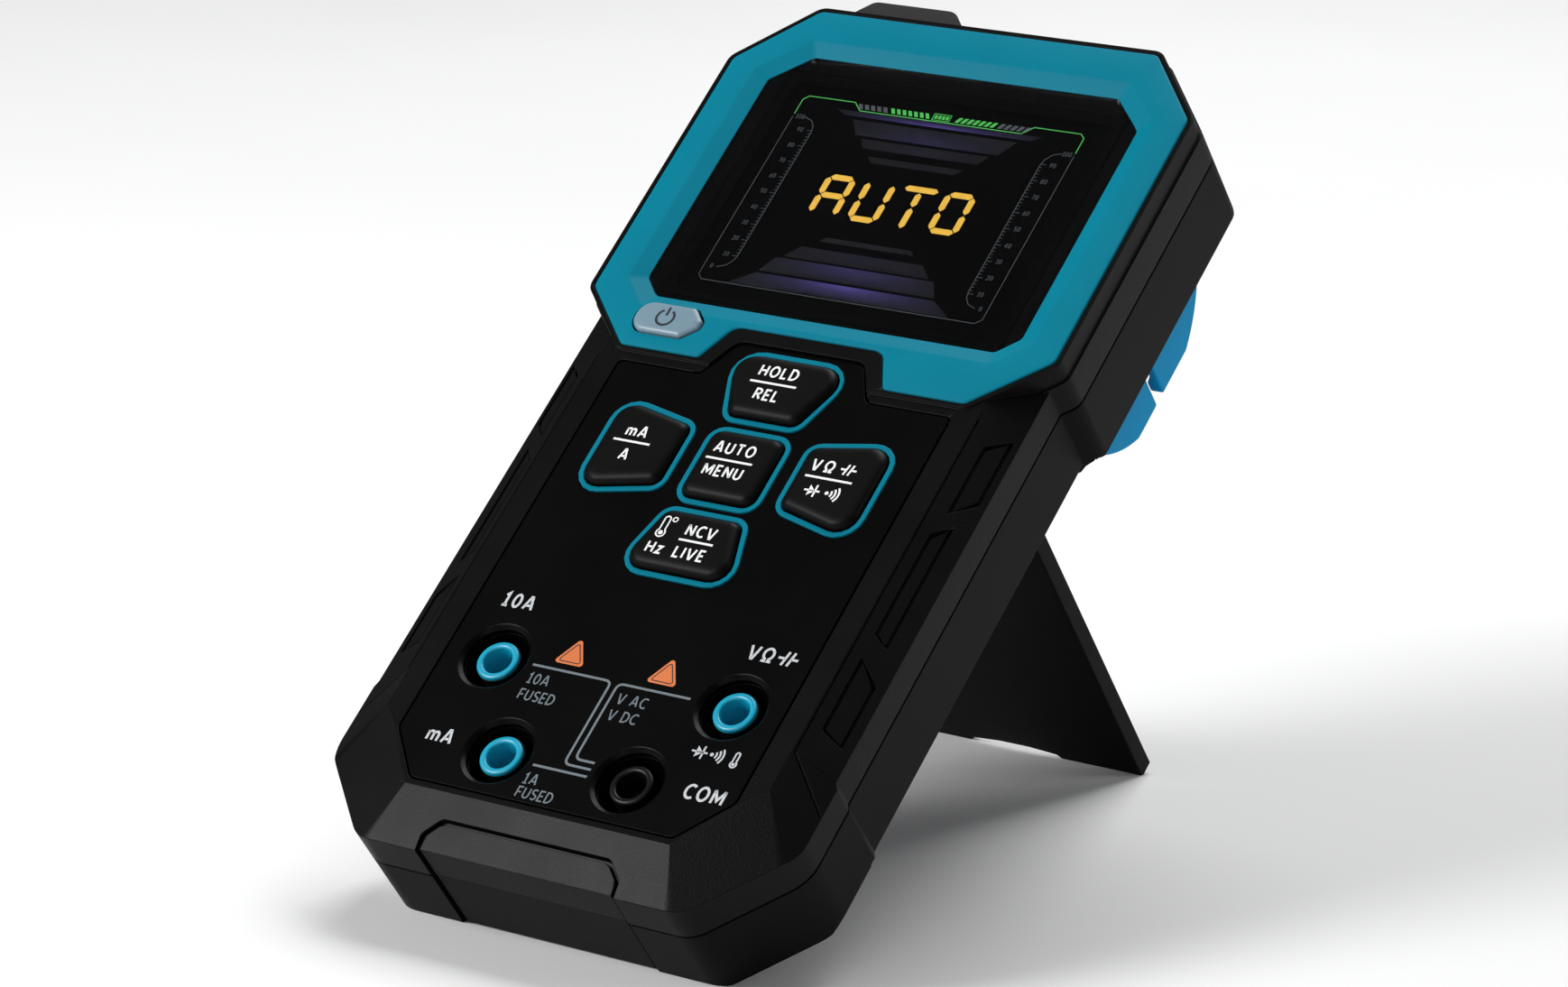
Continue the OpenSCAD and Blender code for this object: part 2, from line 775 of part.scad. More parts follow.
// cross section: round barrel and flat plate, turned about the hinge
module kickstand() {
    color(black)
        difference() {
            translate([0, hinge_y, hinge_z])
                rotate([90 - stand_open, 0, 0])
                    difference() {
                        union() {
                            translate([-stand_hw, 0, 0])
                                rotate([0, 90, 0])
                                    cylinder(r = stand_t / 2, h = 2 * stand_hw);
                            box(-stand_hw, stand_hw, -stand_t / 2, stand_t / 2, -toe, 0);
                        }
                        translate([-stand_hw - 1, 0, 0])
                            rotate([0, 90, 0])
                                cylinder(r = hinge_r + 0.06, h = 2 * stand_hw + 2);
                        // arch between the two feet
                        translate([0, 5, -toe])
                            rotate([90, 0, 0])
                                linear_extrude(height = 10)
                                    polygon([[-9.6, -1], [-9.6, 0], [-8.4, 1.3], [-3, 1.9],
                                        [3, 1.9], [8.4, 1.3], [9.6, 0], [9.6, -1]]);
                        // lightening pockets on the outer face
                        for (s = [-1, 1])
                            box(s * 12.6 - 9, s * 12.6 + 9, 0.7, 3, -toe + 14, -9);
                    }
            under_floor();
        }
}

module stand_pin() {
    color(steel)
        translate([-29.4, hinge_y, hinge_z])
            rotate([0, 90, 0])
                cylinder(r = hinge_r, h = 58.8);
}

// probe clip: a split channel lying along the length on the back of the head
module probe_clip() {
    color(blue)
        difference() {
            intersection() {
                box(32.4, 43.9, -25.4, 12.6, -31.9, -20.8);
                translate([30, -6.4, -9.4])
                    rotate([0, 90, 0])
                        cylinder(r = 24.4, h = 20, $fn = 96);
            }
            translate([38.15, -40, -26.8])
                rotate([-90, 0, 0])
                    cylinder(r = 4.3, h = 70);
            // mouth
            box(34.9, 41.4, -40, 30, -40, -27.2);
            // split between the two fingers
            box(30, 50, -8.7, -6.3, -40, -24.4);
        }
}

module ncv_cap() {
    color([0.1, 0.1, 0.105])
        difference() {
            translate([0, 0, -9.3])
                linear_extrude(height = 7.9)
                    polygon(rounded([[-28.9, 38.95], [-25.3, 42.7], [-9.3, 42.7],
                        [-5.8, 38.95]], [0.3, 2.2, 3, 0.3]));
            box(-24.5, -10, 30, 41.4, -8, -2.8);
        }
}

module ncv_sensor() {
    color([0.72, 0.45, 0.25])
        union() {
            box(-23.5, -11, 39.1, 39.8, -7.4, -3.2);
            box(-18.5, -16, 39.7, 41.2, -6.4, -4);
        }
}

// ---------- placing ----------

module stand_up() {
    translate([0, shift_y, floor_off])
        rotate([lean, 0, 0])
            children();
}

stand_up() front_shell();
stand_up() rear_shell();
stand_up() display_bezel();
stand_up() display_lens();
stand_up() lens_gasket();
stand_up() lcd_panel();
stand_up() lcd_backlight();
stand_up() lcd_flex();
stand_up() front_panel();
stand_up() key_surround();
stand_up() key_cap(0);  // key_hold_cap
stand_up() key_cap(1);  // key_current_cap
stand_up() key_cap(2);  // key_menu_cap
stand_up() key_cap(3);  // key_volts_cap
stand_up() key_cap(4);  // key_ncv_cap
stand_up() power_key();
stand_up() key_mat();
stand_up() jack(0);  // jack_10a
stand_up() jack(1);  // jack_ma
stand_up() jack(2);  // jack_com
stand_up() jack(3);  // jack_v
stand_up() contact(0);  // contact_10a
stand_up() contact(1);  // contact_ma
stand_up() contact(2);  // contact_com
stand_up() contact(3);  // contact_v
stand_up() main_board();
stand_up() input_board();
stand_up() board_link();
stand_up() shield_can();
stand_up() chips();
stand_up() buzzer();
stand_up() fuse(-99, 2.4, 17.3);  // fuse_10a
stand_up() fuse(-106, 2.4, 17.3);  // fuse_ma
stand_up() fuse_caps();
stand_up() fuse_clips();
stand_up() battery_cells();
stand_up() battery_plates();
stand_up() battery_springs();
stand_up() battery_cradle();
stand_up() battery_door();
stand_up() case_screws();
stand_up() door_screws();
stand_up() case_inserts();
stand_up() kickstand();
stand_up() stand_pin();
stand_up() probe_clip();  // probe_clip_right
stand_up() mirror([1, 0, 0]) probe_clip();  // probe_clip_left
stand_up() ncv_cap();
stand_up() ncv_sensor();
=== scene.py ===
"""Looks for the hand-held colour-display multimeter on its kickstand."""
import math
import bpy
import bmesh
from mathutils import Matrix, Vector


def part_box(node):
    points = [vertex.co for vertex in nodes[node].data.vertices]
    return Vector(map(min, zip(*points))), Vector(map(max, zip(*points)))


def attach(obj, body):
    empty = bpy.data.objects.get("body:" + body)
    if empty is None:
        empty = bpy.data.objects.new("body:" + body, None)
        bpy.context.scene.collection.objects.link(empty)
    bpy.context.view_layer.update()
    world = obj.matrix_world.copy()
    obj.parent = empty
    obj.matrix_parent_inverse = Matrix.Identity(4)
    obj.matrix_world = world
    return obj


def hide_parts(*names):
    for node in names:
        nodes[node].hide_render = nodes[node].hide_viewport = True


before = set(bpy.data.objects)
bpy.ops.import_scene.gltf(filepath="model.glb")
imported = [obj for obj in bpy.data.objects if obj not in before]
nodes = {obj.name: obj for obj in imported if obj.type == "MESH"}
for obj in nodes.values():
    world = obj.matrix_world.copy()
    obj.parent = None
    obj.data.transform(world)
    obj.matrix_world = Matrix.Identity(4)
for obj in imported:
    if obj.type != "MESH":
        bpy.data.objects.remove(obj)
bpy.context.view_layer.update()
scene = bpy.context.scene

# ---------------------------------------------------------------- device frame
# x right, y along the length, z out of the front face, millimetres, zero at the middle of the display
LEAN = math.radians(40.5)
R = Matrix.Rotation(LEAN, 4, "X")
lens_lo, lens_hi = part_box("display_lens")
LENS_MID = Vector((0, 0.95, -0.95)) / 1000
ORIGIN = (lens_lo + lens_hi) / 2 - R.to_3x3() @ LENS_MID
DEV = Matrix.Translation(ORIGIN) @ R @ Matrix.Scale(0.001, 4)


def rounded(points, r, n=6):
    """Outline with its corners rounded; r is one radius or one per corner."""
    out, k = [], len(points)
    for i in range(k):
        a, b, c = (Vector(points[(i + d) % k]) for d in (-1, 0, 1))
        rad = r[i] if isinstance(r, (list, tuple)) else r
        u, v = (a - b).normalized(), (c - b).normalized()
        h = math.acos(max(-1, min(1, u.dot(v)))) / 2
        m = b + (u + v).normalized() * rad / math.sin(h)
        s, t = b + u * rad / math.tan(h) - m, b + v * rad / math.tan(h) - m
        a0 = math.atan2(s.y, s.x)
        d = (math.atan2(t.y, t.x) - a0 + 3 * math.pi) % (2 * math.pi) - math.pi
        for j in range(n + 1):
            w = a0 + d * j / n
            out.append((m.x + rad * math.cos(w), m.y + rad * math.sin(w)))
    return out


def circle(x, y, r, n=48):
    """Closed round outline of n points."""
    return [(x + r * math.cos(2 * math.pi * i / n), y + r * math.sin(2 * math.pi * i / n)) for i in range(n)]


def oval(cx, cy, rx, ry, a0, a1, n=14):
    """Points along an ellipse from a0 to a1 degrees."""
    out = []
    for i in range(n + 1):
        a = math.radians(a0 + (a1 - a0) * i / n)
        out.append((cx + rx * math.cos(a), cy + ry * math.sin(a)))
    return out


def arc(cx, cy, r, a0, a1, n=8):
    return oval(cx, cy, r, r, a0, a1, n)


def at(ring, z):
    """A flat outline lifted to height z."""
    return [(x, y, z) for x, y in ring]


# ---------------------------------------------------------------- materials
class Mat:
    """A node material under construction."""

    def __init__(self, name):
        self.m = bpy.data.materials.new(name)
        self.m.use_nodes = True
        self.t = self.m.node_tree
        self.n, self.l = self.t.nodes, self.t.links
        self.bsdf = self.n["Principled BSDF"]
        self.coord = self.n.new("ShaderNodeTexCoord")

    def noise(self, scale, detail=4.0, rough=0.55):
        node = self.n.new("ShaderNodeTexNoise")
        node.inputs["Scale"].default_value = scale
        node.inputs["Detail"].default_value = detail
        node.inputs["Roughness"].default_value = rough
        self.l.new(self.coord.outputs["Object"], node.inputs["Vector"])
        return node.outputs["Fac"]

    def ramp(self, src, stops):
        node = self.n.new("ShaderNodeValToRGB")
        el = node.color_ramp.elements
        while len(el) < len(stops):
            el.new(0.5)
        for e, (pos, col) in zip(el, stops):
            e.position = pos
            e.color = (*col, 1) if len(col) == 3 else col
        self.l.new(src, node.inputs["Fac"])
        return node.outputs["Color"]

    def span(self, src, lo, hi):
        node = self.n.new("ShaderNodeMapRange")
        node.inputs["To Min"].default_value = lo
        node.inputs["To Max"].default_value = hi
        self.l.new(src, node.inputs["Value"])
        return node.outputs["Result"]

    def bump(self, src, strength, dist):
        node = self.n.new("ShaderNodeBump")
        node.inputs["Strength"].default_value = strength
        node.inputs["Distance"].default_value = dist
        self.l.new(src, node.inputs["Height"])
        self.l.new(node.outputs["Normal"], self.bsdf.inputs["Normal"])

    def set(self, **kw):
        for k, v in kw.items():
            self.bsdf.inputs[k.replace("_", " ")].default_value = v


def shade(c, f):
    """Colour made lighter or darker by a factor."""
    return tuple(min(1, x * f) for x in c)


def plastic(name, col, rough, grain=2600, depth=0.00002, strength=0.35, vary=0.12, spec=0.5):
    """Moulded plastic: fine grain bump, slow colour drift and patchy gloss."""
    m = Mat(name)
    slow = m.noise(60, 3)
    fine = m.noise(grain, 2, 0.6)
    m.l.new(m.ramp(slow, [(0.3, shade(col, 1 - vary)), (0.7, shade(col, 1 + vary))]), m.bsdf.inputs["Base Color"])
    m.l.new(m.span(slow, rough - 0.05, rough + 0.05), m.bsdf.inputs["Roughness"])
    m.bump(fine, strength, depth)
    m.bsdf.inputs["Specular IOR Level"].default_value = spec
    return m.m


def metal(name, col, rough=0.3):
    """Bare metal with slow colour drift and fine scuffs."""
    m = Mat(name)
    m.set(Metallic=1.0)
    slow = m.noise(300, 4)
    m.l.new(m.ramp(slow, [(0.3, shade(col, 0.82)), (0.7, shade(col, 1.1))]), m.bsdf.inputs["Base Color"])
    m.l.new(m.span(m.noise(1500, 3), rough - 0.08, rough + 0.12), m.bsdf.inputs["Roughness"])
    m.bump(m.noise(4000, 2), 0.15, 0.00001)
    return m.m


def glow(name, col, power):
    """Lit display element with a faint pixel grid."""
    m = Mat(name)
    m.set(Roughness=0.4)
    n = m.noise(900, 1)
    c = m.ramp(n, [(0.3, shade(col, 0.9)), (0.7, col)])
    m.bsdf.inputs["Base Color"].default_value = (0.01, 0.01, 0.01, 1)
    m.l.new(c, m.bsdf.inputs["Emission Color"])
    m.bsdf.inputs["Emission Strength"].default_value = power
    return m.m


BLACK = plastic("case_black", (0.0026, 0.0025, 0.0025), 0.40, grain=2600, depth=0.00004, strength=0.9, spec=0.085)
REAR = plastic("rear_black", (0.0030, 0.0026, 0.0025), 0.45, grain=2200, depth=0.00003, strength=0.4, spec=0.06)
PANEL = plastic("panel_black", (0.0014, 0.0013, 0.0013), 0.34, grain=3000, depth=0.00002, strength=0.4, spec=0.07)
KEYS = plastic("key_black", (0.0022, 0.0019, 0.0018), 0.45, grain=3000, depth=0.00001, spec=0.09)
# kickstand plastic made darker than the rear shell's: painted shade for its shadowed inner face
STAND_SHADED = plastic("stand_black_painted_shade", (0.0011, 0.0010, 0.0009), 0.45, spec=0.05)
SATIN = {"grain": 2500, "depth": 0.000008, "strength": 0.25}  # nearly smooth coloured plastic
GLOSS = {"grain": 2500, "depth": 0.000006, "strength": 0.2}
TEAL = plastic("teal_plastic", (0.0, 0.175, 0.255), 0.48, vary=0.03, spec=0.08, **SATIN)
BLUE = plastic("clip_blue", (0.0, 0.25, 0.50), 0.45, vary=0.05, spec=0.06, **SATIN)
JACK = plastic("jack_blue", (0.004, 0.32, 0.48), 0.35, vary=0.04, **GLOSS)
JACKB = plastic("jack_black", (0.003, 0.003, 0.003), 0.36, vary=0.1, spec=0.2, **GLOSS)
POWER = plastic("power_grey", (0.16, 0.25, 0.31), 0.38, vary=0.03, **GLOSS)
NCV = plastic("ncv_black", (0.0045, 0.0043, 0.0042), 0.55, grain=1800, depth=0.00004, strength=0.5)
RUBBER = plastic("silicone_grey", (0.12, 0.125, 0.135), 0.6, grain=2000)
GASKET = plastic("gasket_black", (0.0012, 0.0012, 0.0012), 0.7, grain=2000, spec=0.05)
LCD = plastic("lcd_dark", (0.0010, 0.0010, 0.0012), 0.3, grain=5000, depth=0.000002, strength=0.1, spec=0.06)
WHITE = plastic("white_plastic", (0.75, 0.76, 0.76), 0.45)
AMBERF = plastic("amber_film", (0.45, 0.2, 0.03), 0.35, vary=0.2)
GREEN = plastic("board_green", (0.012, 0.10, 0.045), 0.38, grain=1200, vary=0.3)
CERAM = plastic("ceramic", (0.74, 0.70, 0.60), 0.35, vary=0.06)
CELL = plastic("cell_green", (0.03, 0.14, 0.07), 0.3, grain=1500, vary=0.25)
CHIP = plastic("chip_black", (0.012, 0.012, 0.013), 0.5, grain=1500)
COPPER = metal("copper_plate", (0.75, 0.42, 0.24), 0.35)
BRASS = metal("brass", (0.78, 0.58, 0.26), 0.28)
STEEL = metal("steel", (0.62, 0.63, 0.65), 0.3)
INK = plastic("ink_white", (0.78, 0.79, 0.80), 0.5, vary=0.03)
INKL = plastic("ink_light", (0.50, 0.52, 0.54), 0.5, vary=0.04)
INKG = plastic("ink_grey", (0.13, 0.16, 0.18), 0.5, vary=0.05)
ORANGE = plastic("ink_orange", (0.62, 0.16, 0.04), 0.45, vary=0.05)
INKD = plastic("ink_dark", (0.01, 0.012, 0.02), 0.5)

GLOW_AMBER = glow("glow_amber", (0.80, 0.47, 0.06), 1.6)
GLOW_GREEN = glow("glow_green", (0.06, 0.36, 0.07), 2.0)
GLOW_GREY = glow("glow_grey", (0.055, 0.06, 0.065), 2.0)
GLOW_EDGE = glow("glow_edge", (0.01, 0.05, 0.10), 2.0)
vio = Mat("glow_violet")
attr = vio.n.new("ShaderNodeVertexColor")
attr.layer_name = "glow"
vio.bsdf.inputs["Base Color"].default_value = (0.004, 0.004, 0.006, 1)
VIOLET = [(0.0, (0.0, 0.0, 0.0)), (0.5, (0.030, 0.020, 0.11)), (1.0, (0.090, 0.068, 0.32))]
vio.l.new(vio.ramp(attr.outputs["Color"], VIOLET), vio.bsdf.inputs["Emission Color"])
vio.bsdf.inputs["Emission Strength"].default_value = 1.0
GLOW_VIOLET = vio.m

lens = Mat("lens_glass")
lens.bump(lens.noise(90, 2), 0.02, 0.00001)
TINT = [(0.3, (0.66, 0.67, 0.69)), (0.7, (0.70, 0.71, 0.73))]
lens.l.new(lens.ramp(lens.noise(40, 2), TINT), lens.bsdf.inputs["Base Color"])
lens.set(Roughness=0.0, IOR=1.25, Transmission_Weight=1.0)
LENS = lens.m

MATS = {
    BLACK: ["front_shell"], REAR: ["rear_shell", "battery_door", "battery_cradle"],
    TEAL: ["display_bezel", "key_surround"], LENS: ["display_lens"], GASKET: ["lens_gasket"],
    LCD: ["lcd_panel"], WHITE: ["lcd_backlight"], AMBERF: ["lcd_flex"], PANEL: ["front_panel"],
    KEYS: ["key_hold_cap", "key_current_cap", "key_menu_cap", "key_volts_cap", "key_ncv_cap"],
    POWER: ["power_key"], RUBBER: ["key_mat"], JACK: ["jack_10a", "jack_ma", "jack_v"], JACKB: ["jack_com"],
    BRASS: ["contact_10a", "contact_ma", "contact_com", "contact_v", "fuse_clips", "case_inserts"],
    GREEN: ["main_board", "input_board"], CHIP: ["board_link", "chips", "buzzer"],
    STEEL: ["shield_can", "fuse_caps", "battery_plates", "battery_springs", "case_screws", "door_screws",
            "stand_pin"],
    CERAM: ["fuse_10a", "fuse_ma"], CELL: ["battery_cells"], STAND_SHADED: ["kickstand"],
    BLUE: ["probe_clip_right", "probe_clip_left"], NCV: ["ncv_cap"], COPPER: ["ncv_sensor"],
}
for mat, names in MATS.items():  # every CAD node, shown or hidden inside
    for n in names:
        nodes[n].data.materials.clear()
        nodes[n].data.materials.append(mat)


def crisp_group(lo, hi):
    """Geometry nodes that keep shallow creases, between two angles, as sharp lines."""
    g = bpy.data.node_groups.new("crisp_edges", "GeometryNodeTree")
    g.interface.new_socket("Geometry", in_out="INPUT", socket_type="NodeSocketGeometry")
    g.interface.new_socket("Geometry", in_out="OUTPUT", socket_type="NodeSocketGeometry")
    first, last = g.nodes.new("NodeGroupInput"), g.nodes.new("NodeGroupOutput")
    angle = g.nodes.new("GeometryNodeInputMeshEdgeAngle")
    both = g.nodes.new("FunctionNodeBooleanMath")
    for i, (op, value) in enumerate([("GREATER_THAN", lo), ("LESS_THAN", hi)]):
        test = g.nodes.new("FunctionNodeCompare")
        test.operation = op
        g.links.new(angle.outputs["Unsigned Angle"], test.inputs[0])
        test.inputs[1].default_value = math.radians(value)
        g.links.new(test.outputs[0], both.inputs[i])
    flat = g.nodes.new("GeometryNodeSetShadeSmooth")
    flat.domain = "EDGE"
    flat.inputs["Shade Smooth"].default_value = False
    g.links.new(first.outputs[0], flat.inputs["Geometry"])
    g.links.new(both.outputs[0], flat.inputs["Selection"])
    g.links.new(flat.outputs[0], last.inputs[0])
    return g


CREASE = 25  # degrees; sharper edges are rounded, shallower ones stay crisp
SAME_PLANE = 0.6  # degrees
SAME_POINT = 0.000005  # metres
CRISP = crisp_group(9.6, CREASE)


def soften(name, width):
    """Rounds a CAD node's sharp edges without touching its mesh."""
    o = nodes[name]
    w = o.modifiers.new("weld", "WELD")
    w.merge_threshold = SAME_POINT
    d = o.modifiers.new("planar", "DECIMATE")
    d.decimate_type = "DISSOLVE"
    d.angle_limit = math.radians(SAME_PLANE)
    o.modifiers.new("crisp", "NODES").node_group = CRISP
    if name.endswith("shell"):  # wide faces with recesses in them keep their shape when split into triangles
        o.modifiers.new("triangles", "TRIANGULATE")
    b = o.modifiers.new("bevel", "BEVEL")
    b.width = width / 1000
    b.segments = 2
    b.limit_method = "ANGLE"
    b.angle_limit = math.radians(CREASE)
    b.use_clamp_overlap = False
    b.harden_normals = True
    for p in o.data.polygons:
        p.use_smooth = True
    n = o.modifiers.new("normals", "WEIGHTED_NORMAL")
    n.keep_sharp = True
    n.weight = 100


ROUNDING = {  # width of each rounded edge, millimetres
    "front_shell": 0.11, "rear_shell": 0.12, "kickstand": 0.25, "battery_door": 0.2, "probe_clip_right": 0.4,
    "probe_clip_left": 0.4, "ncv_cap": 0.1, "key_surround": 0.12, "front_panel": 0.1,
}
for n, w in ROUNDING.items():
    soften(n, w)


# ---------------------------------------------------------------- lettering
def ring(rx):
    """Closed oval one capital high, its left edge at zero."""
    pts = oval(rx, 0.5, rx, 0.5, 90, 450, 22)[:-1]
    return pts + pts[:1]


def loop(cx, cy, rx, ry):
    """Closed oval inside a figure."""
    pts = oval(cx, cy, rx, ry, 0, 360, 16)[:-1]
    return pts + pts[:1]


# each glyph: width between the outer stroke centres, then its strokes in a cell one capital high
GLYPHS = {
    " ": (0.12, []),
    "H": (0.50, [[(0, 0), (0, 1)], [(0.5, 0), (0.5, 1)], [(0, 0.5), (0.5, 0.5)]]),
    "O": (0.60, [ring(0.30)]),
    "L": (0.36, [[(0, 1), (0, 0), (0.38, 0)]]),
    "D": (0.50, [[(0, 0), (0, 1), (0.18, 1)] + oval(0.16, 0.5, 0.36, 0.5, 80, -80, 10) + [(0.18, 0), (0, 0)]]),
    "R": (0.44, [[(0, 0), (0, 1), (0.2, 1)] + oval(0.18, 0.74, 0.25, 0.26, 80, -80, 8) + [(0.2, 0.48), (0, 0.48)],
                 [(0.2, 0.48), (0.46, 0)]]),
    "E": (0.36, [[(0.38, 1), (0, 1), (0, 0), (0.4, 0)], [(0, 0.5), (0.34, 0.5)]]),
    "F": (0.34, [[(0.38, 1), (0, 1), (0, 0)], [(0, 0.48), (0.34, 0.48)]]),
    "A": (0.56, [[(0, 0), (0.24, 1), (0.32, 1), (0.56, 0)], [(0.1, 0.3), (0.46, 0.3)]]),
    "V": (0.56, [[(0, 1), (0.24, 0), (0.32, 0), (0.56, 1)]]),
    "U": (0.48, [[(0, 1), (0, 0.36)] + oval(0.24, 0.3, 0.24, 0.3, 180, 360, 10)[1:-1] + [(0.48, 0.36), (0.48, 1)]]),
    "T": (0.48, [[(0, 1), (0.48, 1)], [(0.24, 1), (0.24, 0)]]),
    "N": (0.50, [[(0, 0), (0, 1)], [(0, 1), (0.5, 0)], [(0.5, 0), (0.5, 1)]]),
    "M": (0.64, [[(0, 0), (0, 1)], [(0, 1), (0.32, 0.25), (0.64, 1)], [(0.64, 1), (0.64, 0)]]),
    "C": (0.48, [oval(0.32, 0.5, 0.32, 0.5, 52, 308, 14)]),
    "I": (0.0, [[(0, 0), (0, 1)]]),
    "S": (0.38, [oval(0.2, 0.76, 0.2, 0.24, 35, 250, 9)[:-1] + [(0.2, 0.5)]
                 + oval(0.2, 0.25, 0.2, 0.25, 60, -145, 9)[1:]]),
    "z": (0.36, [[(0, 0.68), (0.36, 0.68), (0, 0), (0.38, 0)]]),
    "m": (0.66, [[(0, 0), (0, 0.7)], [(0, 0.5)] + oval(0.17, 0.48, 0.16, 0.2, 150, 0, 7) + [(0.33, 0)],
                 [(0.33, 0.5)] + oval(0.5, 0.48, 0.16, 0.2, 150, 0, 7) + [(0.66, 0)]]),
    "0": (0.44, [ring(0.22)]),
    "1": (0.30, [[(0, 0.8), (0.17, 1), (0.17, 0)], [(0, 0), (0.34, 0)]]),
    "2": (0.40, [oval(0.2, 0.74, 0.2, 0.26, 165, -30, 8) + [(0, 0), (0.42, 0)]]),
    "3": (0.36, [oval(0.16, 0.74, 0.2, 0.26, 140, -80, 8), oval(0.16, 0.25, 0.22, 0.25, 90, -140, 9)]),
    "4": (0.42, [[(0.32, 0), (0.32, 1), (0, 0.3), (0.44, 0.3)]]),
    "5": (0.38, [[(0.36, 1), (0.04, 1), (0.02, 0.55)] + oval(0.17, 0.3, 0.21, 0.3, 110, -140, 9)]),
    "6": (0.40, [[(0.32, 1), (0.02, 0.45)], loop(0.2, 0.3, 0.2, 0.3)]),
    "7": (0.38, [[(0, 1), (0.38, 1), (0.12, 0)]]),
    "8": (0.40, [loop(0.2, 0.76, 0.17, 0.24), loop(0.2, 0.26, 0.2, 0.26)]),
    "9": (0.40, [[(0.08, 0), (0.38, 0.55)], loop(0.2, 0.7, 0.2, 0.3)]),
    "Ω": (0.62, [[(0, 0), (0.2, 0)] + oval(0.31, 0.57, 0.3, 0.43, 245, -65, 14) + [(0.42, 0), (0.62, 0)]]),
}

# ---------------------------------------------------------------- mesh building
class Build:
    """Collects faces in the device frame, then becomes one object riding on a body."""

    def __init__(self):
        self.bm = bmesh.new()

    def loft(self, rings, cap0=True, cap1=True):
        """Skin between rings of equal length, closed round each ring."""
        vs = [[self.bm.verts.new(p) for p in ring] for ring in rings]
        n = len(rings[0])
        for r0, r1 in zip(vs, vs[1:]):
            for i in range(n):
                self.bm.faces.new((r0[i], r0[(i + 1) % n], r1[(i + 1) % n], r1[i]))
        for ring, want in ((vs[0], cap0), (vs[-1], cap1)):
            if want:
                self.bm.faces.new(ring)
        return vs

    def prism(self, outline, z0, z1):
        self.loft([at(outline, z0), at(outline, z1)])

    def lathe(self, x, y, profile, n=64):
        """Ring swept round an axis along z; the profile is a closed loop of (r, z)."""
        rings = [[(x + r * math.cos(2 * math.pi * i / n), y + r * math.sin(2 * math.pi * i / n), z)
                  for r, z in profile] for i in range(n)]
        vs = [[self.bm.verts.new(p) for p in ring] for ring in rings]
        m = len(profile)
        for i in range(n):
            a, b = vs[i], vs[(i + 1) % n]
            for j in range(m):
                self.bm.faces.new((a[j], b[j], b[(j + 1) % m], a[(j + 1) % m]))

    def sheet(self, outlines, z):
        """Flat face at z between an outline and the holes in it."""
        edges = []
        for ring in outlines:
            vs = [self.bm.verts.new((x, y, z)) for x, y in ring]
            edges += [self.bm.edges.new((a, b)) for a, b in zip(vs, vs[1:] + vs[:1])]
        bmesh.ops.triangle_fill(self.bm, use_beauty=True, use_dissolve=False, edges=edges)

    def cut(self, tool):
        """Takes the solid of another builder away."""
        pair = []
        for b in (self, tool):
            bmesh.ops.remove_doubles(b.bm, verts=b.bm.verts, dist=0.002)
            bmesh.ops.recalc_face_normals(b.bm, faces=b.bm.faces)
            me = bpy.data.meshes.new("part")
            b.bm.to_mesh(me)
            pair.append(bpy.data.objects.new("part", me))
            scene.collection.objects.link(pair[-1])
        m = pair[0].modifiers.new("cut", "BOOLEAN")
        m.operation, m.solver, m.object = "DIFFERENCE", "EXACT", pair[1]
        bpy.context.view_layer.update()
        done = pair[0].evaluated_get(bpy.context.evaluated_depsgraph_get())
        me = bpy.data.meshes.new_from_object(done)
        self.bm.clear()
        self.bm.from_mesh(me)
        tool.bm.free()
        for o in pair:
            old = o.data
            bpy.data.objects.remove(o)
            bpy.data.meshes.remove(old)
        bpy.data.meshes.remove(me)

    def stroke(self, pts, width, z0, z1, closed=False):
        """Flat line of constant width along points, with mitred corners."""
        pts = [Vector(p) for p in pts]
        n = len(pts)
        left, right = [], []
        for i in range(n):
            a = pts[(i - 1) % n] if (closed or i > 0) else None
            b = pts[(i + 1) % n] if (closed or i < n - 1) else None
            d0 = (pts[i] - a).normalized() if a is not None else (b - pts[i]).normalized()
            d1 = (b - pts[i]).normalized() if b is not None else d0
            n0, n1 = Vector((-d0.y, d0.x)), Vector((-d1.y, d1.x))
            m = (n0 + n1).normalized()
            m *= width / 2 / max(0.3, m.dot(n0))
            left.append(pts[i] + m)
            right.append(pts[i] - m)
        for i in range(n if closed else n - 1):
            j = (i + 1) % n
            self.prism([left[i], left[j], right[j], right[i]], z0, z1)

    def text(self, words, x, y, size, z0, z1, weight=0.16, align="CENTER", space=0.17):
        """Stroke lettering; size is the height of a capital, weight the stroke as a share of it."""
        gaps = space + weight
        wide = [GLYPHS[c][0] for c in words]
        total = sum(wide) + gaps * (len(words) - 1)
        pen = x - (total / 2 if align == "CENTER" else -weight / 2) * size
        for c, w in zip(words, wide):
            for path in GLYPHS[c][1]:
                closed = path[0] == path[-1]
                pts = [(pen + px * size, y + (py * (1 - weight) + weight / 2 - 0.5) * size)
                       for px, py in path[:len(path) - closed]]
                self.stroke(pts, weight * size, z0, z1, closed=closed)
            pen += (w + gaps) * size

    def done(self, name, mat, body, replaces=(), slot=None, angle=32):
        """Makes the object; edges that bend by less than angle are shaded smooth."""
        bmesh.ops.recalc_face_normals(self.bm, faces=self.bm.faces)
        limit = math.radians(angle)
        for f in self.bm.faces:
            f.smooth = True
        for e in self.bm.edges:
            e.smooth = len(e.link_faces) == 2 and e.calc_face_angle(0) < limit
        me = bpy.data.meshes.new(name)
        self.bm.to_mesh(me)
        self.bm.free()
        me.transform(DEV)
        me.materials.append(mat)
        o = bpy.data.objects.new(name, me)
        scene.collection.objects.link(o)
        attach(o, body)
        if replaces:
            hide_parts(*replaces)


# ---------------------------------------------------------------- keys
RIM, GAP = 0.9, 0.3  # blue rim and the gap inside it
SKIRT = 0.6  # how far a key reaches under its rim


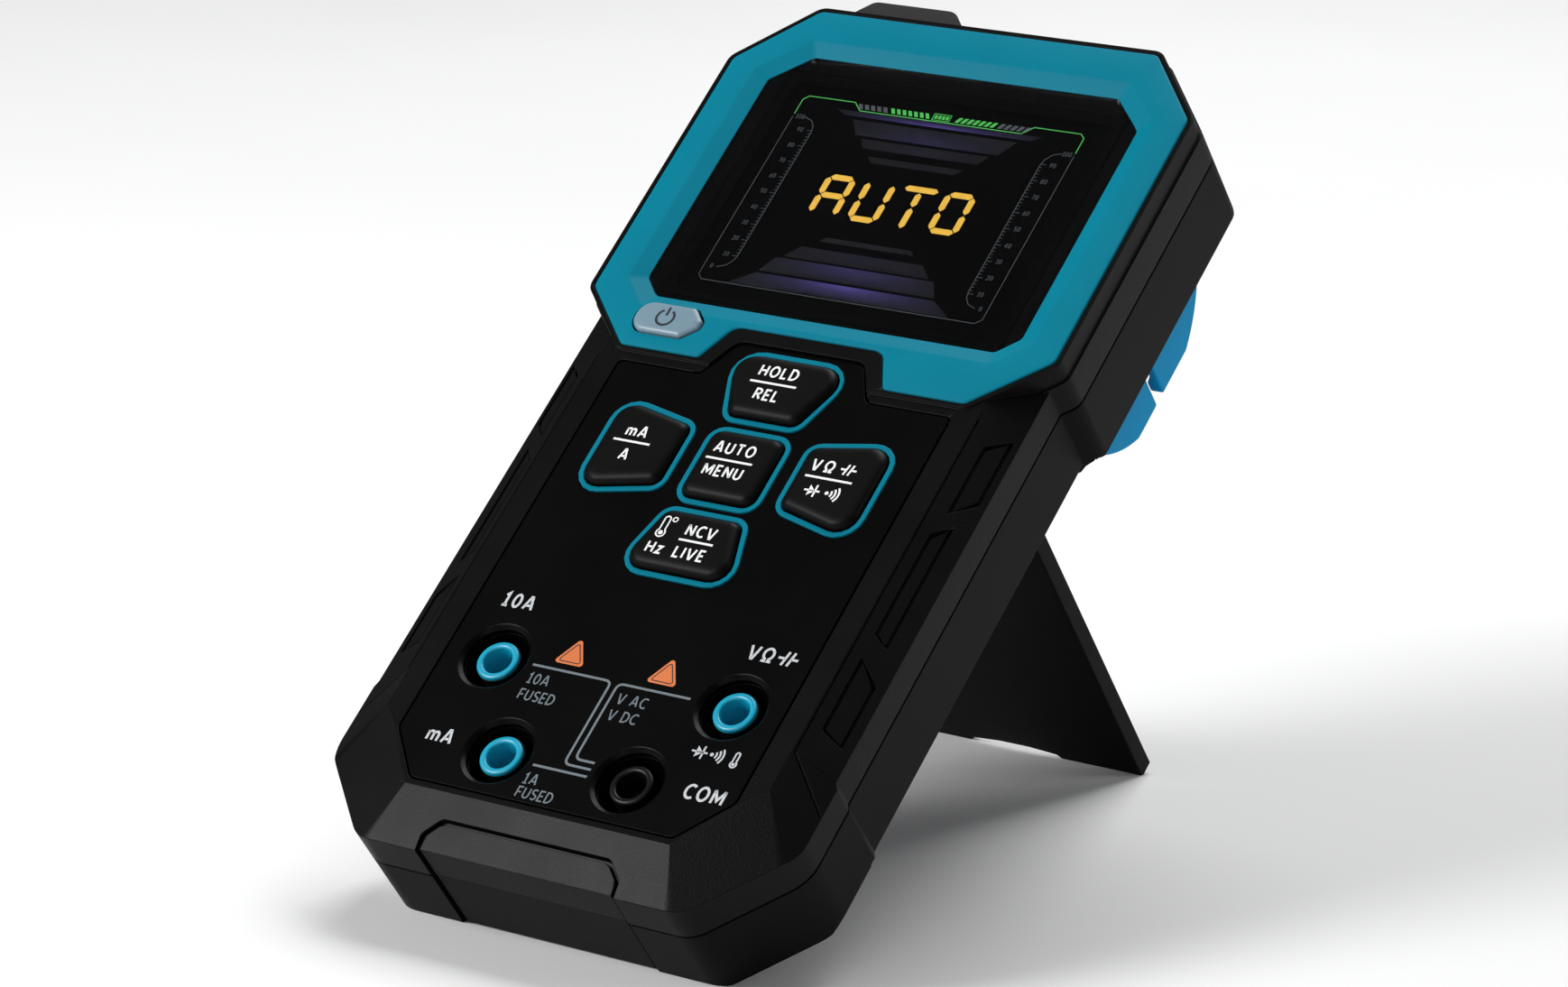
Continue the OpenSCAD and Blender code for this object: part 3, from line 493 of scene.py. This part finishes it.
def key_outline(k, o):
    """Outline of key k, o outside its blue rim."""
    if k == "hold":
        p = [(-12.5 - o, -34.1 + o), (12.5 + o, -34.1 + o),
             (7.3 + 0.8 * o, -48.6 - o), (-7.3 - 0.8 * o, -48.6 - o)]
        r = [4.6, 4.6, 3.1, 3.1]
    elif k == "ncv":
        p = [(-7.9 - 0.8 * o, -66.2 + o), (7.9 + 0.8 * o, -66.2 + o),
             (11.7 + 1.2 * o, -80.0 - o), (-11.7 - 1.2 * o, -80.0 - o)]
        r = [3.1, 3.1, 4.2, 4.2]
    elif k == "menu":
        p = [(-8.0 - o, -49.6 + o), (8.0 + o, -49.6 + o), (8.0 + o, -65.3 - o), (-8.0 - o, -65.3 - o)]
        r = [3.2] * 4
    else:
        p = [(-27.0 - o, -46.8 + 1.2 * o), (-10.4 + o, -50.0 + 0.8 * o),
             (-10.4 + o, -63.8 - 0.8 * o), (-27.0 - o, -67.5 - 1.2 * o)]
        r = [4.4, 3.0, 3.0, 4.4]
        if k == "volts":
            p, r = [(-x, y) for x, y in reversed(p)], list(reversed(r))
    return rounded(p, [max(0.45, q + o) for q in r], 8)


# crowned key: distance in from its edge, and height
KEY_PROFILE = [(0, -3.2), (0, 0.15), (0.05, 0.5), (0.2, 0.83), (0.45, 1.1), (0.8, 1.3), (1.2, 1.42),
               (1.7, 1.48), (2.3, 1.5)]


def key_cap(k):
    b = Build()
    rings = [at(key_outline(k, -RIM + SKIRT), z) for z in (-4.2, -3.2)]
    rings += [at(key_outline(k, -RIM - GAP - d), z) for d, z in KEY_PROFILE]
    b.loft(rings)
    b.done(f"{k}_key", KEYS, f"key_{k}_cap_body", [f"key_{k}_cap"], "key_black", 50)


for k in ("hold", "current", "menu", "volts", "ncv"):
    key_cap(k)


def power_outline(o):
    return rounded([(-33.2 - o, -28.2 + o), (-22.6 + 0.6 * o, -28.2 + o), (-20.2 + o, -30.6 + 0.6 * o),
                    (-20.2 + o, -32.0 - 0.6 * o), (-22.9 + 0.6 * o, -34.5 - o), (-33.2 - o, -34.5 - o)],
                   [max(0.3, q + o) for q in (2.9, 1, 0.9, 0.9, 1, 2.9)], 8)


POWER_TOP = 1.2
POWER_PROFILE = [(0, -2.7), (0, 0.55), (0.06, 0.8), (0.22, 1.0), (0.5, 1.12), (0.9, 1.18), (1.3, POWER_TOP)]
b = Build()
b.loft([at(power_outline(0.9), z) for z in (-3.7, -2.7)] + [at(power_outline(-0.1 - d), z) for d, z in POWER_PROFILE])
b.done("power_button", POWER, "power_key_body", ["power_key"], "power_grey", 50)

# ---------------------------------------------------------------- bezel
def bezel_outline(o):
    p = [(-32.8 - 0.4 * o, 37.6 + o), (32.8 + 0.4 * o, 37.6 + o), (44.3 + o, 25.0 + 0.4 * o),
         (44.3 + o, -26.7 - 0.4 * o), (33.0 + 0.4 * o, -37.4 - o), (17.6 - 0.8 * o, -37.4 - o),
         (14.1 - 0.8 * o, -30.2 - o), (-14.1 + 0.8 * o, -30.2 - o), (-17.6 + 0.8 * o, -37.4 - o),
         (-33.0 - 0.4 * o, -37.4 - o), (-44.3 - o, -26.7 - 0.4 * o), (-44.3 - o, 25.0 + 0.4 * o)]
    return rounded(p, [2, 2, 2, 2, 2, 1.2, 2.5, 2.5, 1.2, 2, 2, 2], 8)


def window_outline(o, r):
    p = [(-29.6 - 0.4 * o, 28.0 + o), (29.6 + 0.4 * o, 28.0 + o), (35.9 + o, 22.0 + 0.4 * o),
         (35.9 + o, -22.7 - 0.4 * o), (32.5 + 0.4 * o, -26.1 - o), (-32.5 - 0.4 * o, -26.1 - o),
         (-35.9 - o, -22.7 - 0.4 * o), (-35.9 - o, 22.0 + 0.4 * o)]
    return rounded(p, [r] * 8, 8)


# outer wall with its rounded edge, then the sill of the window and the slope down to it: offset, height
OUTER = [(0, -1.5), (0, 0.1), (-0.04, 0.27), (-0.14, 0.41), (-0.28, 0.51), (-0.45, 0.55)]
SILL = [(0, -1.5), (0, -0.62), (0.1, -0.5), (0.3, -0.42)]
SLOPE = [(2.75, 0.44), (2.95, 0.51), (3.2, 0.55)]
b = Build()
b.loft([at(bezel_outline(o), z) for o, z in OUTER], False, False)
b.loft([at(window_outline(o, 1.6), z) for o, z in SILL] + [at(window_outline(o, 1.3), z) for o, z in SLOPE],
       False, False)
b.sheet([bezel_outline(-0.45), window_outline(3.2, 1.3)], 0.55)
b.sheet([bezel_outline(0), window_outline(0, 1.6)], -1.5)
hole = Build()
hole.loft([at(power_outline(o), z) for o, z in [(0.25, -3), (0.25, 3)]])
b.cut(hole)
b.done("bezel_frame", TEAL, "case", ["display_bezel"], "teal_plastic", 14)

# ---------------------------------------------------------------- jacks
TUBE = [(6.9, -18.9), (6.9, -17.65), (3.65, -17.65), (3.65, -1.5), (3.6, -1.25), (3.45, -1.07), (3.2, -1.0),
        (2.85, -1.0), (2.63, -1.06), (2.5, -1.2), (2.45, -1.45), (2.45, -18.9)]
JACKS = {"10a": (-22.4, -99.9), "ma": (-12.25, -116.3), "com": (12.25, -116.3), "v": (22.4, -99.9)}
for k, (x, y) in JACKS.items():
    mat, slot = (JACKB, "jack_black") if k == "com" else (JACK, "jack_blue")
    b = Build()
    b.lathe(x, y, TUBE)
    b.done(f"tube_{k}", mat, "case", [f"jack_{k}"], slot, 40)
# black sleeve round each blue tube, so that only its ring shows blue: painted shade standing in for the shade inside
# the jack well
SHADE_SLEEVE = [(3.55, -17.6), (3.75, -17.6), (3.75, -1.75), (3.7, -1.68), (3.55, -1.68)]
b = Build()
for k in ("10a", "ma", "v"):
    b.lathe(*JACKS[k], SHADE_SLEEVE)
b.done("tube_shade_sleeves", JACKB, "case", [], "jack_black", 40)


# ---------------------------------------------------------------- legends
K = 0.975
LEGEND = 0.035  # thickness of the lettering on a key
PRINT = 0.03  # thickness of the print on the front panel


def legend(z):
    """Map from face coordinates (u, v), laid out for height zero, to the device frame at height z."""
    return lambda u, v: (K * u + 0.753 * z, K * v - 0.629 * z)


def symbol_capacitor(b, x, y, h, z0, z1, w):
    """Two plates between leads."""
    s = h * 0.5
    for d, lead in ((-0.2 * h, -1), (0.2 * h, 1)):
        b.stroke([(x + d - 0.1 * h, y - s), (x + d + 0.1 * h, y + s)], w, z0, z1)
        b.stroke([(x + d, y), (x + d + lead * 0.48 * h, y)], w, z0, z1)


def symbol_diode(b, x, y, h, z0, z1, w):
    """Triangle and bar on a lead."""
    b.prism([(x - 0.34 * h, y + 0.55 * h), (x - 0.34 * h, y - 0.55 * h), (x + 0.28 * h, y)], z0, z1)
    b.stroke([(x + 0.3 * h, y + 0.62 * h), (x + 0.3 * h, y - 0.62 * h)], w, z0, z1)
    b.stroke([(x - 0.75 * h, y), (x + 0.75 * h, y)], w, z0, z1)


def symbol_sound(b, x, y, h, z0, z1, w):
    """Dot with three waves."""
    b.prism(circle(x - 0.5 * h, y, 0.15 * h, 16), z0, z1)
    for r in (0.38, 0.66, 0.94):
        b.stroke(arc(x - 0.5 * h, y, r * h, -38, 38), w, z0, z1)


def symbol_thermometer(b, x, y, h, z0, z1, w):
    """Bulb and stem in outline."""
    r, top = 0.2 * h, y + 0.38 * h
    pts = arc(x, y - 0.3 * h, r, 130, 410, 14) + arc(x, top, 0.13 * h, 0, 180, 8)
    b.stroke(pts, w, z0, z1, closed=True)
    b.prism(circle(x, y - 0.3 * h, 0.105 * h, 16), z0, z1)


KEY_TOP = KEY_PROFILE[-1][1]
kz = (KEY_TOP, KEY_TOP + LEGEND)
L = legend(KEY_TOP)


def two_lines(b, top, low, u, v0, vb, v1, half):
    """Two words on a key, with a bar of the given half length between them."""
    b.text(top, *L(u, v0), 2.35, *kz)
    b.text(low, *L(u, v1), 2.35, *kz)
    b.stroke([L(u - half, vb), L(u + half, vb)], 0.4, *kz)


b = Build()
two_lines(b, "HOLD", "REL", -2.0, -38.5, -40.9, -43.3, 4.5)
b.done("hold_legend", INK, "key_hold_cap_body")
b = Build()
two_lines(b, "mA", "A", -21.3, -54.9, -57.1, -59.8, 3.6)
b.done("current_legend", INK, "key_current_cap_body")
b = Build()
two_lines(b, "AUTO", "MENU", -1.9, -54.9, -57.3, -59.6, 4.5)
b.done("menu_legend", INK, "key_menu_cap_body")
b = Build()
b.text("V", *L(13.9, -54.9), 2.4, *kz)
b.text("Ω", *L(16.4, -54.9), 2.4, *kz)
symbol_capacitor(b, *L(20.0, -54.9), 2.1, *kz, 0.36)
b.stroke([L(12.9, -57.3), L(21.8, -57.3)], 0.4, *kz)
symbol_diode(b, *L(15.6, -60.0), 1.9, *kz, 0.34)
symbol_sound(b, *L(19.6, -60.0), 2.3, *kz, 0.34)
b.done("volts_legend", INK, "key_volts_cap_body")
b = Build()
two_lines(b, "NCV", "LIVE", 0.6, -71.8, -73.9, -76.3, 3.3)
b.text("Hz", *L(-6.1, -76.3), 2.3, *kz)
symbol_thermometer(b, *L(-6.6, -72.1), 4.0, *kz, 0.27)
b.stroke(circle(*L(-5.2, -70.4), 0.42, 14), 0.22, *kz, closed=True)
b.done("ncv_legend", INK, "key_ncv_cap_body")

# power symbol
b = Build()
x, y = -28.0 + 0.9, -31.3
pz = (POWER_TOP, POWER_TOP + LEGEND)
b.stroke(arc(x, y, 1.6, 122, 418, 22), 0.42, *pz)
b.stroke([(x, y + 0.4), (x, y + 2.1)], 0.42, *pz)
b.done("power_symbol", INKD, "power_key_body")

# front panel: bright legends
fz = (0.0, PRINT)
F = legend(0)
b = Build()
for words, u, v in (("10A", -24.4, -91.5), ("mA", -24.2, -118.8), ("COM", 26.6, -118.7)):
    b.text(words, *F(u, v), 2.85, *fz)
b.text("VΩ", *F(22.9, -91.8), 2.85, *fz)
symbol_capacitor(b, *F(27.9, -91.8), 2.6, *fz, 0.45)
symbol_diode(b, *F(21.8, -111.5), 1.9, *fz, 0.32)
symbol_sound(b, *F(25.2, -111.5), 2.2, *fz, 0.32)
symbol_thermometer(b, *F(28.5, -111.6), 2.7, *fz, 0.28)
b.done("panel_legend", INKL, "case")

# front panel: grey link lines and small words
def bend(pts, r):
    """Path with its inner corners rounded."""
    out = [pts[0]]
    for a, c, d in zip(pts, pts[1:], pts[2:]):
        a, c, d = Vector(a), Vector(c), Vector(d)
        p, q = c + (a - c).normalized() * r, c + (d - c).normalized() * r
        for i in range(7):
            t = i / 6
            out.append(tuple(p * (1 - t) ** 2 + c * 2 * t * (1 - t) + q * t * t))
    return out + [pts[-1]]


LINKS = [[(-15.4, -102.5), (0, -102.5), (0, -118.9), (5.2, -118.9)],
         [(15.2, -102.6), (1.4, -102.6), (1.4, -117.6), (5.2, -117.6)], [(-5.2, -120.3), (5.2, -120.3)]]
NOTES = [("10A", -14.9, -105.0), ("FUSED", -14.9, -108.2), ("V AC", 2.7, -105.2), ("V DC", 2.7, -108.4),
         ("1A", -5.4, -122.9), ("FUSED", -5.4, -125.5)]
b = Build()
for pts in LINKS:
    b.stroke([F(*p) for p in bend(pts, 1.2)], 0.42, *fz)
for words, u, v in NOTES:
    b.text(words, *F(u, v), 2.05, *fz, weight=0.13, align="LEFT", space=0.144)
b.done("panel_notes", INKG, "case")

# plain caution triangles
b = Build()
for u in (-9.3, 8.6):
    x, y = F(u, -99.2)
    b.loft([at(rounded([(x - 2.9, y - 1.9), (x + 2.9, y - 1.9), (x, y + 3.3)], 0.5, 5), z) for z in fz])
b.done("panel_triangles", ORANGE, "case")
b = Build()
for u in (-9.3, 8.6):
    x, y = F(u, -99.2)
    b.stroke(rounded([(x - 2.1, y - 1.45), (x + 2.1, y - 1.45), (x, y + 2.3)], 0.3, 3), 0.18, PRINT, 1.5 * PRINT,
             closed=True)
b.done("panel_triangle_lines", INKD, "case")

# ---------------------------------------------------------------- screen picture
SZ = -2.0  # face of the display
MIDDLE = 0.8  # centre of the picture
S = legend(SZ)
sz = (SZ + 0.01, SZ + 0.03)


def seg_bar(x0, y0, x1, y1, w):
    """One display segment: a bar with pointed ends."""
    a, c = Vector((x0, y0)), Vector((x1, y1))
    d = (c - a).normalized()
    n = Vector((-d.y, d.x)) * w / 2
    p = d * w / 2
    return [tuple(v) for v in (a, a + p + n, c - p + n, c, c - p - n, a + p - n)]


def picture(b, points):
    """A lit shape on the display."""
    b.prism([S(*v) for v in points], *sz)


def trace(b, points, width, closed=False):
    """A lit line on the display."""
    b.stroke([S(*v) for v in points], width, *sz, closed=closed)


def letter(b, x0, x1, segs):
    """Letter of lit segments between x0 and x1."""
    y0, y1, w, g = -5.3, 3.9, 1.2, 0.14  # foot, head, segment width, gap
    ym, xm, h = (y0 + y1) / 2, (x0 + x1) / 2, w / 2
    table = {"a": (x0 + h + g, y1 - h, x1 - h - g, y1 - h), "d": (x0 + h + g, y0 + h, x1 - h - g, y0 + h),
             "g": (x0 + h + g, ym, x1 - h - g, ym), "f": (x0 + h, ym + g, x0 + h, y1 - h - g),
             "e": (x0 + h, y0 + h + g, x0 + h, ym - g), "b": (x1 - h, ym + g, x1 - h, y1 - h - g),
             "c": (x1 - h, y0 + h + g, x1 - h, ym - g), "A": (x0, y1 - h, x1, y1 - h),
             "m": (xm, ym + g, xm, y1 - w - g), "n": (xm, y0, xm, ym - g)}
    for q in segs:
        picture(b, seg_bar(*table[q], w))


b = Build()
for x0, x1, segs in ((-14.1, -8.1, "abcefg"), (-6.2, -0.1, "bcdef"), (1.5, 8.1, "Amn"), (9.7, 15.7, "abcdef")):
    letter(b, x0, x1, segs)
b.done("screen_reading", GLOW_AMBER, "case")

def slash(b, u, width, lean):
    """Slanted block of the bar row; a positive lean tips its foot to the right."""
    foot = u + max(lean, 0)
    head = u + max(-lean, 0)
    picture(b, ((head, 19.7), (head + width, 19.7), (foot + width, 18.6), (foot, 18.6)))


b = Build()
for i in range(7):
    slash(b, -9.6 + i * 1.15, 0.7, 0.6)
    slash(b, 3.6 + i * 1.15, 0.7, -0.6)
trace(b, ((-0.9, 18.5), (2.5, 18.5), (2.5, 19.9), (-0.9, 19.9)), 0.12, closed=True)
for i in range(4):
    u = -0.6 + i * 0.75
    picture(b, ((u, 18.8), (u + 0.55, 18.8), (u + 0.55, 19.6), (u, 19.6)))
trace(b, ((-27.3, 15.6), (-27.3, 19.0), (-26.4, 19.9), (-17.0, 19.9), (-15.2, 18.2), (17.0, 18.2), (18.8, 19.9),
          (27.9, 19.9), (28.8, 19.0), (28.8, 15.6)), 0.16)
b.done("screen_green", GLOW_GREEN, "case")

SCALE_EDGE = ((25.6, 15.2), (24.0, 14.6), (23.1, 13.4), (22.8, 12.0), (22.8, -16.0), (23.1, -17.4), (24.0, -18.6),
              (25.6, -19.2))
SCALE_MARKS = (15.2, 12.4, 8.8, 5.3, 1.7, -1.8, -5.5, -9.0, -12.6, -16.2, -19.1)
b = Build()
for i in range(5):
    slash(b, -16.2 + i * 1.25, 0.8, 0.6)
    slash(b, 12.0 + i * 1.25, 0.8, -0.6)
for side in (-1, 1):
    trace(b, [(MIDDLE + side * d, v) for d, v in SCALE_EDGE], 0.12)
    for i in range(41):
        v = 12.4 - i * 0.72
        d = 1.1 if i % 5 == 0 else 0.6
        trace(b, ((MIDDLE + side * 22.8, v), (MIDDLE + side * (22.8 + d), v)), 0.09)
    for i, v in enumerate(SCALE_MARKS):
        d = 26.6 if i in (0, len(SCALE_MARKS) - 1) else 25.2
        b.text(str(100 - 10 * i), *S(MIDDLE + side * d, v), 0.95, *sz, weight=0.1)
trace(b, ((-27.3, 15.0), (-27.3, -21.2), (-26.3, -22.2), (27.8, -22.2), (28.8, -21.2), (28.8, 15.0)), 0.12)
b.done("screen_grey", GLOW_GREY, "case")

b = Build()
trace(b, ((-30.0, 22.4), (-30.0, -23.0)), 0.16)
trace(b, ((-30.0, 22.4), (29.6, 22.4)), 0.12)
b.done("screen_edge", GLOW_EDGE, "case")

# violet bands, brighter towards one edge
BANDS = [  # height and half width of one edge, then of the other, and the brightness of the two edges
    (18.0, 20.4, 16.9, 18.6, 0.35, 1.0), (16.2, 16.4, 12.9, 14.2, 0.0, 0.55), (12.3, 12.8, 10.3, 11.4, 0.0, 0.3),
    (8.7, 9.6, 7.4, 8.2, 0.0, 0.18), (-9.6, 8.4, -10.6, 9.4, 0.16, 0.0), (-12.2, 12.0, -14.8, 14.4, 0.32, 0.0),
    (-15.2, 15.6, -18.5, 17.4, 0.75, 0.05), (-19.0, 17.6, -21.9, 21.8, 1.0, 0.15),
]
b = Build()
layer = b.bm.loops.layers.color.new("glow")
steps = [-1 + i / 10 for i in range(21)]
for v0, h0, v1, h1, g0, g1 in BANDS:
    corners = ((v0, h0, sz[0]), (v1, h1, sz[0]), (v1, h1, SZ), (v0, h0, SZ))
    rings = [[(*S(MIDDLE + h * f, v), z) for v, h, z in corners] for f in steps]
    for f, ring in zip(steps, b.loft(rings)):
        for vert, g in zip(ring, (g0, g1, g1, g0)):
            level = g * (1 - 0.75 * abs(f) ** 1.5)
            for lp in vert.link_loops:
                lp[layer] = (level, level, level, 1)
b.done("screen_violet", GLOW_VIOLET, "case")

# ---------------------------------------------------------------- floor, light, camera
def floor():
    """Wide pale floor."""
    me = bpy.data.meshes.new("floor")
    s = 6
    me.from_pydata([(-s, -s, 0), (s, -s, 0), (s, s, 0), (-s, s, 0)], [], [(0, 1, 2, 3)])
    o = bpy.data.objects.new("floor", me)
    scene.collection.objects.link(o)
    m = Mat("floor_paper")
    m.l.new(m.ramp(m.noise(3, 3), [(0.3, (0.80, 0.80, 0.80)), (0.7, (0.84, 0.84, 0.84))]), m.bsdf.inputs["Base Color"])
    m.set(Roughness=0.9)
    m.bsdf.inputs["Specular IOR Level"].default_value = 0.1
    o.data.materials.append(m.m)


floor()


def area(name, pos, target, size, power):
    """Square lamp facing a target."""
    li = bpy.data.lights.new(name, "AREA")
    li.energy, li.size = power, size
    o = bpy.data.objects.new(name, li)
    o.location = pos
    o.rotation_euler = (Vector(target) - Vector(pos)).to_track_quat("-Z", "Y").to_euler()
    scene.collection.objects.link(o)


MID = (0, 0, 0.06)
area("key", (-0.62, -0.80, 0.66), MID, 0.42, 13)
area("top", (-0.1, 0.9, 1.5), (0, 0.1, 0), 1.2, 26)
area("side", (1.5, 0.9, 0.55), MID, 0.9, 9)
area("front", (0.5, -1.6, 0.45), (0, -0.05, 0.04), 0.6, 2)
world = bpy.data.worlds.new("world")
scene.world = world
world.use_nodes = True
world.node_tree.nodes["Background"].inputs["Color"].default_value = (0.9, 0.92, 0.95, 1)
world.node_tree.nodes["Background"].inputs["Strength"].default_value = 0.09
scene.view_settings.view_transform = "Standard"

cam = bpy.data.cameras.new("camera")
cam.sensor_width = 36
cam.lens = 118.0
cam.shift_x, cam.shift_y = -0.027, -0.026
cam.clip_start, cam.clip_end = 0.01, 50
camera = bpy.data.objects.new("camera", cam)
right, up, back = Vector((0.838, 0.544, 0.0345)), Vector((-0.154, 0.175, 0.973)), Vector((0.523, -0.820, 0.2305))
camera.matrix_world = Matrix.Translation((0.4373, -0.6779, 0.2581)) @ Matrix((right, up, back)).transposed().to_4x4()
scene.collection.objects.link(camera)
scene.camera = camera
